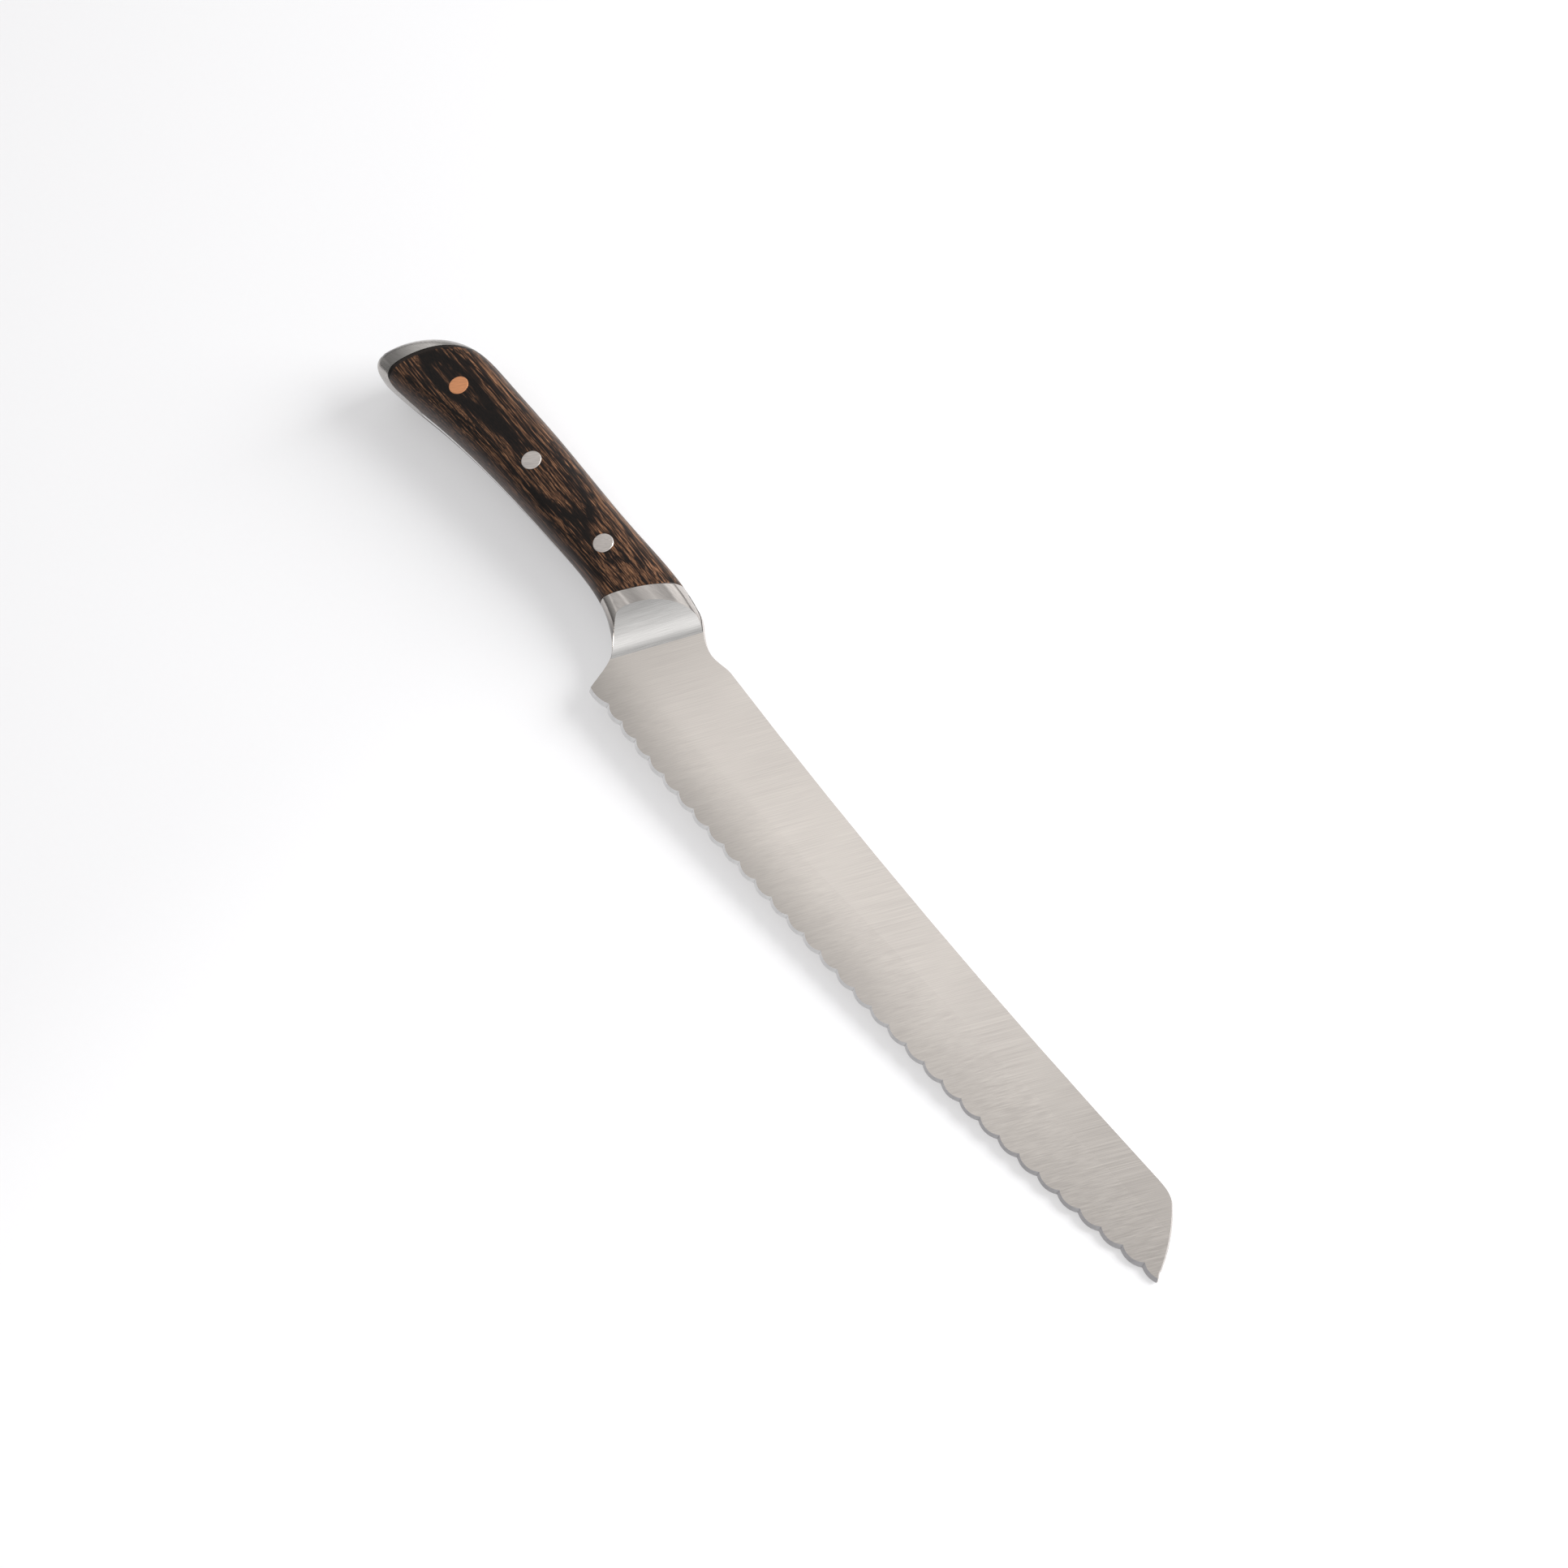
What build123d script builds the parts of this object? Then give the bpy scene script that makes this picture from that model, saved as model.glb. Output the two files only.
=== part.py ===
from build123d import *
import math
import os

# Bread knife: a scalloped blade whose full-length tang is sandwiched between two riveted wooden
# scales, with a steel bolster in front of the wood and a steel cap on the butt.
#
# Millimetres. X runs along the blade to the tip, Y up to the spine, Z out of the right face.
# The origin lies on the middle plane of the blade, where the bolster ends and the blade begins.

# ---------------------------------------------------------------- driving dimensions
# Plate: blade and tang in one piece
plate_thickness = 2.4
spine_start = (20.9, 20.0)
spine_dip = (117.8, 18.0)
spine_end = (214.8, 20.0)
tip_corner = [(218.0, 19.95), (219.9, 19.6), (221.4, 18.95)]
tip_front = [(227.9, 13.1), (233.4, 5.6)]
tip_notch = [(233.55, 5.0), (234.2, 4.2)]
tip_point = (235.0, 2.9)
shoulder = [(-2.5, 24.3), (1.5, 22.55), (5.4, 20.5), (12.4, 19.05), (17.6, 19.85)]
heel = [(-5.2, -13.9), (-6.9, -8.3), (-8.4, -4.6)]

# Edge: equal scallops hang from one gentle curve, ground from the right face only
cusp_line = [(-5.1, -13.5), (45.0, -13.75), (100.0, -11.4), (150.0, -8.2), (190.0, -3.9), (235.0, 3.55)]
first_cusp = 7.9
scallop_pitch = 7.345
scallop_count = 32
scallop_depth = 1.0
heel_scallop_length = 12.2
heel_scallop_depth = 1.4
bevel_foot_z = -0.35
bevel_lean = 0.95
edge_allowance = 1.6

# Primary grind: both faces thin towards the edge below a straight shoulder line
grind_start = (-9.0, -4.2)
grind_line_angle = 4.27
grind_slope = 0.045

# Handle outline, seen from the right
handle_spine = [(-40.0, 25.6), (-80.0, 26.0), (-110.0, 25.6), (-125.6, 23.85), (-138.0, 14.7)]
butt_rearmost = (-143.2, 0.4)
butt_corner_radius = 4.2
butt_corner_sweep = 95.0
handle_belly = [(-115.0, -0.2), (-80.0, 3.45), (-48.0, 4.75), (-28.0, 4.25), (-18.0, 1.85)]
belly_end = (-9.3, -3.2)

# Handle thickness, seen from the spine: half-thickness along one arc, and the rounded edges
half_thickness_arc = [(24.0, 4.7), (-105.0, 9.85), (-152.0, 9.15)]
edge_rounding = 4.0

# Joints between wood and steel, seen from the right
front_joint = [(-25.9, 1.3), (-10.8, 30.0)]
rear_joint = [(-114.0, 29.0), (-120.0, 25.7), (-124.6, 22.1), (-130.0, 15.8), (-133.7, 8.0), (-134.9, 1.0)]
rear_joint_corner = [(-134.4, -1.8), (-132.0, -2.55)]
rear_joint_lip = [(-125.0, -1.6), (-121.0, -1.1), (-117.0, -0.9)]

# Bolster ramp: a curved slope down to the blade, the same all along the slanted foot line
ramp_foot = (-8.3, -3.6)
ramp_angle = 65.2
ramp_length = 12.4
ramp_mid = (6.63, 3.38)
ramp_top_z = 7.3
ramp_overrun = (18.0, 13.0)

# Tongue that joins the tang to the butt cap
tongue_size = (12.0, 9.0)
tongue_centre = (-131.0, 7.0)

# Parts of the outlines that later cuts remove or that lie outside the knife
under_ramp = (-3.3, -9.2)
under_wood = [(-100.0, -8.0), (-40.0, -8.0)]

# Cutler's rivets: a headed tube from the left and a headed pin pressed into it from the right
rivet_centres = {"front": (-37.2, 15.4), "middle": (-75.2, 14.8), "rear": (-113.2, 12.5)}
rivet_head_radius = 3.2
rivet_head_length = 3.0
rivet_tube_radius = 2.4
rivet_pin_radius = 1.6
rivet_end_gap = 0.5

# Sizes of the cutting tools: each only has to reach past the metal it removes
reach = 20.0
handle_middle_x = -80.0
ground_slab = (340.0, 40.0, 5.0)
scallop_tool_height = 3.0
scallop_tool_width = (1.6, 3.6)
scallop_tool_overlap = 0.05

# How edges are told apart when the handle is rounded: height off the middle plane, and closeness in plan
rim_least_height = 3.0
rim_tolerance = 0.5

# ---------------------------------------------------------------- values worked out from those
face = plate_thickness / 2


# ---------------------------------------------------------------- outlines
def filled(*lines):
    """Flat face inside a closed loop of lines."""
    return make_face(Wire([edge for line in lines for edge in line.edges()]))


def handle_lines():
    """Handle outline from the shoulder, over the spine and round the butt, to the bolster's belly."""
    spine = Spline(shoulder[0], *handle_spine, butt_rearmost, tangents=[(-1, 0.2), (0, -1)])
    corner = JernArc(butt_rearmost, (0, -1), butt_corner_radius, butt_corner_sweep)
    belly = Spline(corner @ 1, *handle_belly, belly_end, tangents=[corner % 1, (1, -1)])
    return [spine, corner, belly]


def shoulder_line():
    """The step down from the bolster to the spine, with its shallow finger notch."""
    return Spline(*shoulder, spine_start, tangents=[(1, -0.2), (1, -0.04)])


def plate_face():
    """Whole outline of the blade and tang, with the edge left full for the scallops."""
    full_edge = Pos(0, -edge_allowance) * edge_line()
    blade = [
        ThreePointArc(spine_start, spine_dip, spine_end),
        Spline(spine_end, *tip_corner),
        ThreePointArc(tip_corner[-1], *tip_front),
        Spline(tip_front[-1], *tip_notch, tip_point),
        Line(tip_point, full_edge @ 1),
        full_edge,
        Line(full_edge @ 0, heel[0]),
        Spline(*heel, belly_end),
    ]
    return filled(*handle_lines(), shoulder_line(), *blade)


def edge_line():
    """The curve the cusps between the scallops lie on, from heel to tip."""
    return Spline(*cusp_line)


def edge_point(line, distance):
    """Point at a distance along the edge line, which runs on straight past either end."""
    within = min(max(distance, 0), line.length)
    spot = line.position_at(within, PositionMode.LENGTH)
    beyond = distance - within
    return spot + beyond * line.tangent_at(within, position_mode=PositionMode.LENGTH)


def prism(outline, low, high):
    """Straight solid over a plan outline, between two heights."""
    return extrude(Pos(0, 0, low) * outline, high - low)


# ---------------------------------------------------------------- shared solids
def handle_body():
    """Bolster, wood and cap as one smooth body, before it is divided into its pieces."""
    spine, corner, belly = handle_lines()
    closing = [Line(belly @ 1, under_ramp), Line(under_ramp, spine_start)]
    plan = filled(spine, corner, belly, *closing, shoulder_line())

    top = ThreePointArc(*half_thickness_arc)
    bottom = ThreePointArc(*[(x, -z) for x, z in half_thickness_arc])
    ends = [Line(top @ 0, bottom @ 0), Line(top @ 1, bottom @ 1)]
    spine_view = Plane.XZ * filled(top, *ends, bottom)

    body = prism(plan, -reach, reach) & extrude(spine_view, 3 * reach, both=True)
    rim = [e for e in body.edges() if is_rim(e, closing)]
    return fillet(rim, edge_rounding)


def is_rim(edge, closing):
    """True for an edge round either face, except over the flat front end that the ramp removes."""
    spot = edge.center()
    below = Vertex(spot.X, spot.Y, 0)
    over_front = any(line.distance_to(below) < rim_tolerance for line in closing)
    return abs(spot.Z) > rim_least_height and not over_front


def wood_zone():
    """Plan outline of the wood between its two joints, running past the handle above and below."""
    front = Line(*front_joint)
    over = Line(front_joint[-1], rear_joint[0])
    rear = Spline(*rear_joint, *rear_joint_corner, *rear_joint_lip)
    below = Polyline(rear_joint_lip[-1], *under_wood, front_joint[0])
    return filled(front, over, rear, below)


def ramp_cutter():
    """Space in front of and above the right-hand ramp, a straight prism along the slanted foot line."""
    run = math.cos(math.radians(ramp_angle)), math.sin(math.radians(ramp_angle))
    section = Plane((*ramp_foot, 0), x_dir=(-run[1], run[0], 0), z_dir=(run[0], run[1], 0))
    foot = (0, face)
    slope = ThreePointArc(foot, ramp_mid, (ramp_length, ramp_top_z))
    ahead = -3 * reach
    rest = Polyline(slope @ 1, ramp_overrun, (ahead, ramp_overrun[1]), (ahead, face), foot)
    return extrude(section * filled(slope, rest), 4 * reach, both=True)


def half_space(toward):
    """Block that takes in everything before (+1) or behind (-1) the middle of the handle."""
    length = 5 * reach
    return Pos(handle_middle_x + toward * length / 2, 0, 0) * Box(length, 4 * reach, 2 * reach)


def rear_block(wood):
    """Everything behind the rear joint, where the butt cap is solid right through."""
    return half_space(-1) - prism(wood, -reach, reach)


def tongue():
    """The stub of the tang that reaches into the butt cap."""
    return Pos(*tongue_centre, 0) * Box(*tongue_size, plate_thickness)


def scallop_cutter(start, end, depth):
    """Waste outside one scallop: the edge is a round arc, and the bevel above it part of a cone."""
    chord = (end - start).length
    radius = (chord**2 / 4 + depth**2) / (2 * depth)
    above, below = scallop_tool_width
    height = scallop_tool_height
    waste = Pos(0, (above - below) / 2, 0) * Box(chord + scallop_tool_overlap, above + below, 2 * height)

    rise = height - bevel_foot_z
    standing = (Align.CENTER, Align.CENTER, Align.MIN)
    shank = Pos(0, 0, -height) * Cylinder(radius, height + bevel_foot_z, align=standing)
    bevel = Pos(0, 0, bevel_foot_z) * Cone(radius, radius - bevel_lean * rise, rise, align=standing)
    round_part = Pos(0, radius - depth, 0) * (shank + bevel)

    middle = (start + end) / 2
    turn = math.degrees(math.atan2(end.Y - start.Y, end.X - start.X))
    return Pos(middle.X, middle.Y, 0) * Rot(0, 0, turn) * (waste - round_part)


# ---------------------------------------------------------------- pieces
def blade_and_tang(wood):
    """One plate from tip to butt: ground edge, scallops, rivet holes and a tongue for the cap."""
    plate = prism(plate_face(), -face, face)
    plate -= rear_block(wood)
    plate += tongue()
    for centre in rivet_centres.values():
        plate -= Pos(*centre, 0) * Cylinder(rivet_tube_radius, 2 * reach)
    for side in (1, -1):
        plate -= grind_cutter(side)
    for cutter in scallops():
        plate -= cutter
    return plate


def grind_cutter(side):
    """Thin wedge that the primary grind takes off one face (side 1 is the right face)."""
    turn = math.radians(grind_line_angle)
    along = (math.cos(turn), math.sin(turn), 0)
    normal = (math.sin(turn) * grind_slope, -math.cos(turn) * grind_slope, side)
    ground = Plane((*grind_start, side * face), x_dir=along, z_dir=normal)
    toward_edge = Align.MAX if side == 1 else Align.MIN
    slab = Box(*ground_slab, align=(Align.MIN, toward_edge, Align.MIN))
    return ground * Pos(-reach, 0, 0) * slab


def scallops():
    """Cutters for the long scallop at the heel and the equal ones up to the tip."""
    line = edge_line()
    cusps = [edge_point(line, first_cusp + i * scallop_pitch) for i in range(scallop_count + 1)]
    heel_start = edge_point(line, first_cusp - heel_scallop_length)
    cutters = [scallop_cutter(heel_start, cusps[0], heel_scallop_depth)]
    for start, end in zip(cusps, cusps[1:]):
        cutters.append(scallop_cutter(start, end, scallop_depth))
    return cutters


def bolster(body, wood, side):
    """One cheek of the bolster: the body between the wood and the foot of the ramp."""
    layer = half_layer(side)
    cutter = ramp_cutter()
    if side < 0:
        cutter = mirror(cutter, Plane.XY)
    return (body & layer & half_space(1)) - prism(wood, -reach, reach) - cutter


def scale(body, wood, side):
    """One wooden scale, bored and counterbored for the rivets."""
    piece = body & half_layer(side) & prism(wood, -reach, reach)
    for centre in rivet_centres.values():
        piece -= rivet_space(centre, side)
    return piece


def half_layer(side):
    """All the space on one side of the plate."""
    return Pos(handle_middle_x, 0, side * (face + reach / 2)) * Box(10 * reach, 4 * reach, reach)


def butt_cap(body, wood):
    """Steel cap, solid through the thickness, with a slot for the tang's tongue."""
    return (body & rear_block(wood)) - tongue()


def seat_height(centre):
    """Height of the step under a rivet head, measured from the middle plane."""
    (x1, z1), (x2, z2), (x3, z3) = half_thickness_arc
    u = (centre[0] - x2) / (x1 - x2)
    v = (centre[0] - x2) / (x3 - x2)
    top = z2 - ((z2 - z1) * u**2 if u > 0 else (z2 - z3) * v**2)
    return top - rivet_head_length


def rivet_space(centre, side):
    """Hole through one scale: the tube's bore with a counterbore for the head."""
    seat = seat_height(centre)
    bore = Cylinder(rivet_tube_radius, 2 * reach)
    counterbore = Pos(0, 0, side * (seat + reach / 2)) * Cylinder(rivet_head_radius, reach)
    return Pos(*centre, 0) * (bore + counterbore)


def rivet_female(body, centre):
    """Headed tube, its head flush with the left scale."""
    seat = seat_height(centre)
    tube = Cylinder(rivet_tube_radius, 2 * seat)
    head = Pos(0, 0, -seat - reach / 2) * Cylinder(rivet_head_radius, reach)
    blank = tube + head - Cylinder(rivet_pin_radius, 2 * seat)
    return body & (Pos(*centre, 0) * blank)


def rivet_male(body, centre):
    """Headed pin, its head flush with the right scale and its shank inside the tube."""
    seat = seat_height(centre)
    shank = Pos(0, 0, rivet_end_gap / 2) * Cylinder(rivet_pin_radius, 2 * seat - rivet_end_gap)
    head = Pos(0, 0, seat + reach / 2) * Cylinder(rivet_head_radius, reach)
    return body & (Pos(*centre, 0) * (shank + head))


def main():
    body = handle_body()
    wood = wood_zone()
    pieces = {
        "blade_and_tang": blade_and_tang(wood),
        "bolster_right": bolster(body, wood, 1),
        "bolster_left": bolster(body, wood, -1),
        "butt_cap": butt_cap(body, wood),
        "scale_right": scale(body, wood, 1),
        "scale_left": scale(body, wood, -1),
    }
    for place, centre in rivet_centres.items():
        pieces[f"rivet_{place}_male"] = rivet_male(body, centre)
        pieces[f"rivet_{place}_female"] = rivet_female(body, centre)

    os.makedirs("parts", exist_ok=True)
    for name, piece in pieces.items():
        export_step(piece, f"parts/{name}.step")


main()
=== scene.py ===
import math

import bmesh
import bpy
import numpy as np
from mathutils import Matrix, Vector


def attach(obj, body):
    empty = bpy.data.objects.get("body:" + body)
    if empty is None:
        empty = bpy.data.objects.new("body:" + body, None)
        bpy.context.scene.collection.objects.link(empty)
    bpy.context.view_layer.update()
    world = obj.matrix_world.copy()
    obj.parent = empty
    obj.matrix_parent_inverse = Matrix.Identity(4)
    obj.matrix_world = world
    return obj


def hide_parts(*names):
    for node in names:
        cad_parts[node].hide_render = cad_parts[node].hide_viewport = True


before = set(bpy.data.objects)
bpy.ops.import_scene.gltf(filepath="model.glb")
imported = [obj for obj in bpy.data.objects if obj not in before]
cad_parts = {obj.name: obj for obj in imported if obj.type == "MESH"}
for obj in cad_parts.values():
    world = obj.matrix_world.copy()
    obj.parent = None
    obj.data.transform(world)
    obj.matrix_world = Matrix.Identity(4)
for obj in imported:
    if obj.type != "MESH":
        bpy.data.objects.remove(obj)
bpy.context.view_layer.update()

# Lengths below are millimetres in the CAD frame: X to the tip, Y to the spine, Z out of the right face.
# Only the floor's size, the key light and the camera are given in metres.
MM = 0.001
FACE = 1.2

# ------------------------------------------------------------------ plan curves
SHOULDER = [(-2.5, 24.3), (1.5, 22.55), (5.4, 20.5), (12.4, 19.05), (17.6, 19.85), (20.9, 20.0)]
SPINE = [
    (-2.5, 24.3), (-40.0, 25.6), (-80.0, 26.0), (-110.0, 25.6), (-125.6, 23.85), (-138.0, 14.7),
    (-143.2, 0.4),
]
BUTT_RADIUS = 4.2
BUTT_SWEEP = 95.0
BELLY = [(-115.0, -0.2), (-80.0, 3.45), (-48.0, 4.75), (-28.0, 4.25), (-18.0, 1.85), (-9.3, -3.2)]
UNDER_RAMP = (-3.3, -9.2)
FRONT_JOINT = [(-25.9, 1.3), (-10.8, 30.0)]
REAR_JOINT = [
    (-114.0, 29.0), (-120.0, 25.7), (-124.6, 22.1), (-130.0, 15.8), (-133.7, 8.0), (-134.9, 1.0),
    (-134.3, -2.2), (-131.8, -2.68), (-128.0, -2.23), (-124.4, -1.72), (-121.0, -1.17), (-118.0, -0.8),
]
REAR_CORNER = (-134.3, -2.2)
BUTT_CORNER = (-142.0, -2.6)

# ------------------------------------------------------------------ heights and sections
# Half the handle's thickness follows an arc through these X and Z
THICKNESS_ARC = [(24.0, 4.7), (-105.0, 9.85), (-152.0, 9.15)]
# The surface rises from its outline over a crown, given by X and width, and squarer by a higher power
SPINE_CROWN = [(-140.0, 6.0), (-120.0, 7.5), (-90.0, 10.0), (-24.0, 12.0), (-8.0, 15.0)]
SPINE_POWER = 2.3
BELLY_CROWN = [(-140.0, 7.0), (-110.0, 9.0), (-20.0, 9.0), (-10.0, 10.0)]
BELLY_POWER = [(-26.0, 2.9), (-14.0, 2.2)]
# The ramp leaves its slanted foot in an arc through these distances and heights
RAMP_FOOT = (-8.3, -3.6)
RAMP_ANGLE = 65.2
RAMP_SECTION = [(0.0, FACE), (6.63, 3.38), (12.4, 7.3)]
RAMP_OVERRUN = 8.0
# Radii of the softened edges along the joints
WOOD_EDGE = 0.45
STEEL_EDGE = 0.18

# ------------------------------------------------------------------ rivets
RIVETS = {"front": (-37.2, 15.4), "middle": (-75.2, 14.8), "rear": (-113.2, 12.5)}
HEAD_RADIUS = 3.2
HEAD_LENGTH = 3.0
HEAD_PROUD = 0.12
HEAD_BREAK_WIDTH = 0.5
HEAD_BREAK_DROP = 0.2
HEAD_RINGS = (0, 0.7, 1.4, 2.0, 2.4, 2.7, 2.85, 2.95, 3.05, 3.12, 3.17, HEAD_RADIUS)
# By side: the pin on the right, and the outside of its tube on the left
SHANK_RADIUS = {1: 1.6, -1: 2.4}

# ------------------------------------------------------------------ how finely the meshes are divided
# The lengths set only how many columns there are, and steps are distances from a joint or an edge
CROWN_ROWS = 16
CROWN_ROW_POWER = 2.7
CROWN_SHARE = 10.0 / 22.0
JOINT_STEPS = (0, 0.06, 0.14, 0.24, 0.36, 0.5, 0.8, 1.2)
RIM_COLUMNS = len(JOINT_STEPS)
WOOD_LENGTH, WOOD_PITCH = 95.0, 1.1
CHEEK_LENGTH, CHEEK_PITCH = 14.0, 0.6
RAMP_LENGTH, RAMP_PITCH, RAMP_STEPS = 12.0, 0.7, (0, 0.1, 0.25)
CAP_ROWS, CAP_EDGE_ROWS = 21, (0, 0.006, 0.015, 0.03)
CAP_COLUMNS, LIP_COLUMNS = 64, 40
CREASE_RAYS, CREASE_REACH, CREASE_SAMPLES = 121, 24.0, 1000
HEAD_SIDES = 64
SHARP_ANGLE = 24
# Points nearer than the first are joined, and edges shorter than the second are dissolved
WELD = 0.002
SLIVER = 0.001


# ------------------------------------------------------------------ curve tools
def spline(points, start=None, end=None, per_span=40):
    """Cubic with continuous curvature through points, with set or free directions at its ends."""
    points = np.array(points, float)
    last = len(points) - 1
    step = np.diff(points, axis=0)
    chord = np.linalg.norm(step, axis=1)
    matrix = np.zeros((last + 1, last + 1))
    target = np.zeros((last + 1, 2))
    for i in range(1, last):
        before, after = chord[i - 1], chord[i]
        matrix[i, i - 1 : i + 2] = after, 2 * (before + after), before
        target[i] = 3 * (after * step[i - 1] / before + before * step[i] / after)
    for row, near, direction, span in ((0, 1, start, 0), (last, last - 1, end, -1)):
        if direction is None:
            matrix[row, row], matrix[row, near] = 2, 1
            target[row] = 3 * step[span] / chord[span]
        else:
            matrix[row, row] = 1
            target[row] = np.array(direction) / np.linalg.norm(direction)
    slope = np.linalg.solve(matrix, target)
    t = np.linspace(0, 1, per_span, endpoint=False)[:, None]
    spans = [
        (2 * t**3 - 3 * t**2 + 1) * points[i]
        + (t**3 - 2 * t**2 + t) * chord[i] * slope[i]
        + (3 * t**2 - 2 * t**3) * points[i + 1]
        + (t**3 - t**2) * chord[i] * slope[i + 1]
        for i in range(last)
    ]
    return np.vstack([*spans, points[-1:]])


def circle_through(p1, p2, p3):
    """Centre and radius of the circle through three points."""
    (x1, y1), (x2, y2), (x3, y3) = p1, p2, p3
    chords = np.array([[x2 - x1, y2 - y1], [x3 - x1, y3 - y1]])
    squares = np.array([x2**2 - x1**2 + y2**2 - y1**2, x3**2 - x1**2 + y3**2 - y1**2])
    centre = np.linalg.solve(2 * chords, squares)
    return centre, math.dist(centre, p1)


def crossing(a, b):
    """Where line a first meets line b: an index along a, an index along b, and the point."""
    a_from, a_step = a[:-1, None], np.diff(a, axis=0)[:, None]
    b_from, b_step = b[None, :-1], np.diff(b, axis=0)[None]
    gap = b_from - a_from
    turn = a_step[..., 0] * b_step[..., 1] - a_step[..., 1] * b_step[..., 0]
    with np.errstate(divide="ignore", invalid="ignore"):
        t = (gap[..., 0] * b_step[..., 1] - gap[..., 1] * b_step[..., 0]) / turn
        u = (gap[..., 0] * a_step[..., 1] - gap[..., 1] * a_step[..., 0]) / turn
    i, j = np.argwhere((t >= 0) & (t < 1) & (u >= 0) & (u < 1))[0]
    return i + t[i, j], j + u[i, j], a[i] + t[i, j] * (a[i + 1] - a[i])


def at_index(curve, index):
    """Point at a whole or broken index of a curve."""
    i = min(int(index), len(curve) - 2)
    return curve[i] + (index - i) * (curve[i + 1] - curve[i])


def nearest(curve, point):
    """Index of the sample of a curve nearest to a point."""
    return float(np.argmin(np.linalg.norm(curve - np.array(point), axis=1)))


def part(curve, start, end):
    """Stretch of a curve between two indices, which may run backwards."""
    low, high = sorted((start, end))
    inner = curve[int(low) + 1 : math.ceil(high)]
    piece = np.vstack([at_index(curve, low), inner, at_index(curve, high)])
    return piece if start <= end else piece[::-1]


def spread(curve, fractions):
    """Points at fractions of a curve's length."""
    run = np.concatenate([[0], np.cumsum(np.linalg.norm(np.diff(curve, axis=0), axis=1))])
    at = np.array(fractions) * run[-1]
    return np.column_stack([np.interp(at, run, curve[:, k]) for k in (0, 1)])


def distance(points, curve):
    """Shortest distance in plan from each point to a curve."""
    flat = points.reshape(-1, 1, 2)
    start, step = curve[:-1], np.diff(curve, axis=0)
    share = ((flat - start) * step).sum(2) / np.maximum((step * step).sum(1), 1e-12)
    off = flat - (start + np.clip(share, 0, 1)[..., None] * step)
    return np.sqrt((off**2).sum(2).min(1)).reshape(points.shape[:-1])


# ------------------------------------------------------------------ the handle's outline and surface
spine_curve = spline(SPINE, (-1, 0.2), (0, -1))
shoulder_curve = spline(SHOULDER, (1, -0.2), (1, -0.04))
butt_centre = np.array(SPINE[-1]) + (BUTT_RADIUS, 0)
butt_angles = np.radians(180 + np.linspace(0, BUTT_SWEEP, 60))
butt_curve = butt_centre + BUTT_RADIUS * np.column_stack([np.cos(butt_angles), np.sin(butt_angles)])
butt_direction = (-math.sin(butt_angles[-1]), math.cos(butt_angles[-1]))
belly_curve = spline([butt_curve[-1], *BELLY], butt_direction, (1, -1))

# One line round the handle: from the spine of the blade, over the shoulder, round the butt, to the belly
upper_line = np.vstack([shoulder_curve[::-1], spine_curve[1:]])
lower_line = np.vstack([butt_curve, belly_curve[1:], [UNDER_RAMP]])
outline = np.vstack([upper_line, lower_line[1:]])

thickness_centre, thickness_radius = circle_through(*THICKNESS_ARC)
ramp_centre, ramp_radius = circle_through(*RAMP_SECTION)
ramp_along = np.array([math.cos(math.radians(RAMP_ANGLE)), math.sin(math.radians(RAMP_ANGLE))])
ramp_back = np.array([-ramp_along[1], ramp_along[0]])


def half_thickness(x):
    """Half the handle's thickness along its middle."""
    return thickness_centre[1] + np.sqrt(thickness_radius**2 - (x - thickness_centre[0]) ** 2)


def along(table, x):
    """Value at x of a table of pairs, straight between them."""
    return np.interp(x, *np.transpose(table))


def body_height(plan):
    """Height of the crowned handle surface over plan points."""
    x = plan[..., 0]
    to_spine, to_belly = distance(plan, upper_line), distance(plan, lower_line)
    share = to_belly / np.maximum(to_spine + to_belly, 1e-9)
    belly_power = along(BELLY_POWER, x)
    power = belly_power + (SPINE_POWER - belly_power) * share
    rise = np.minimum(to_spine / along(SPINE_CROWN, x), to_belly / along(BELLY_CROWN, x))
    return half_thickness(x) * (1 - (1 - np.minimum(rise, 1)) ** power) ** (1 / power)


def ramp_height(plan):
    """Height of the bolster's slope, the same all along its slanted foot."""
    back = np.clip((plan - np.array(RAMP_FOOT)) @ ramp_back, 0, RAMP_SECTION[-1][0] + RAMP_OVERRUN)
    return ramp_centre[1] - np.sqrt(np.maximum(ramp_radius**2 - (back - ramp_centre[0]) ** 2, 0))


def rounded(plan, joint, radius):
    """How far a corner of this radius lies under the surface near a joint."""
    inside = radius - np.minimum(distance(plan, joint), radius)
    return radius - np.sqrt(np.maximum(radius**2 - inside**2, 0))


def crown_rows(count):
    """Fractions from 0 to 1, close together towards 0 so that a rounded rim keeps its shape."""
    return 1 - np.cos(np.linspace(0, math.pi / 2, count + 1)) ** (2 / CROWN_ROW_POWER)


def across_rows():
    """Fractions from belly to spine."""
    low = CROWN_SHARE * crown_rows(CROWN_ROWS)
    return np.concatenate([low, [0.5], 1 - low[::-1]])


def along_rows(length, pitch, edge_steps=JOINT_STEPS):
    """Fractions of a length, even in the middle and close together at both ends."""
    edge = np.array(edge_steps) / length
    inner = np.linspace(edge[-1], 1 - edge[-1], max(int(length / pitch), 2) + 1)
    return np.concatenate([edge[:-1], inner, 1 - edge[-2::-1]])


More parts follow.
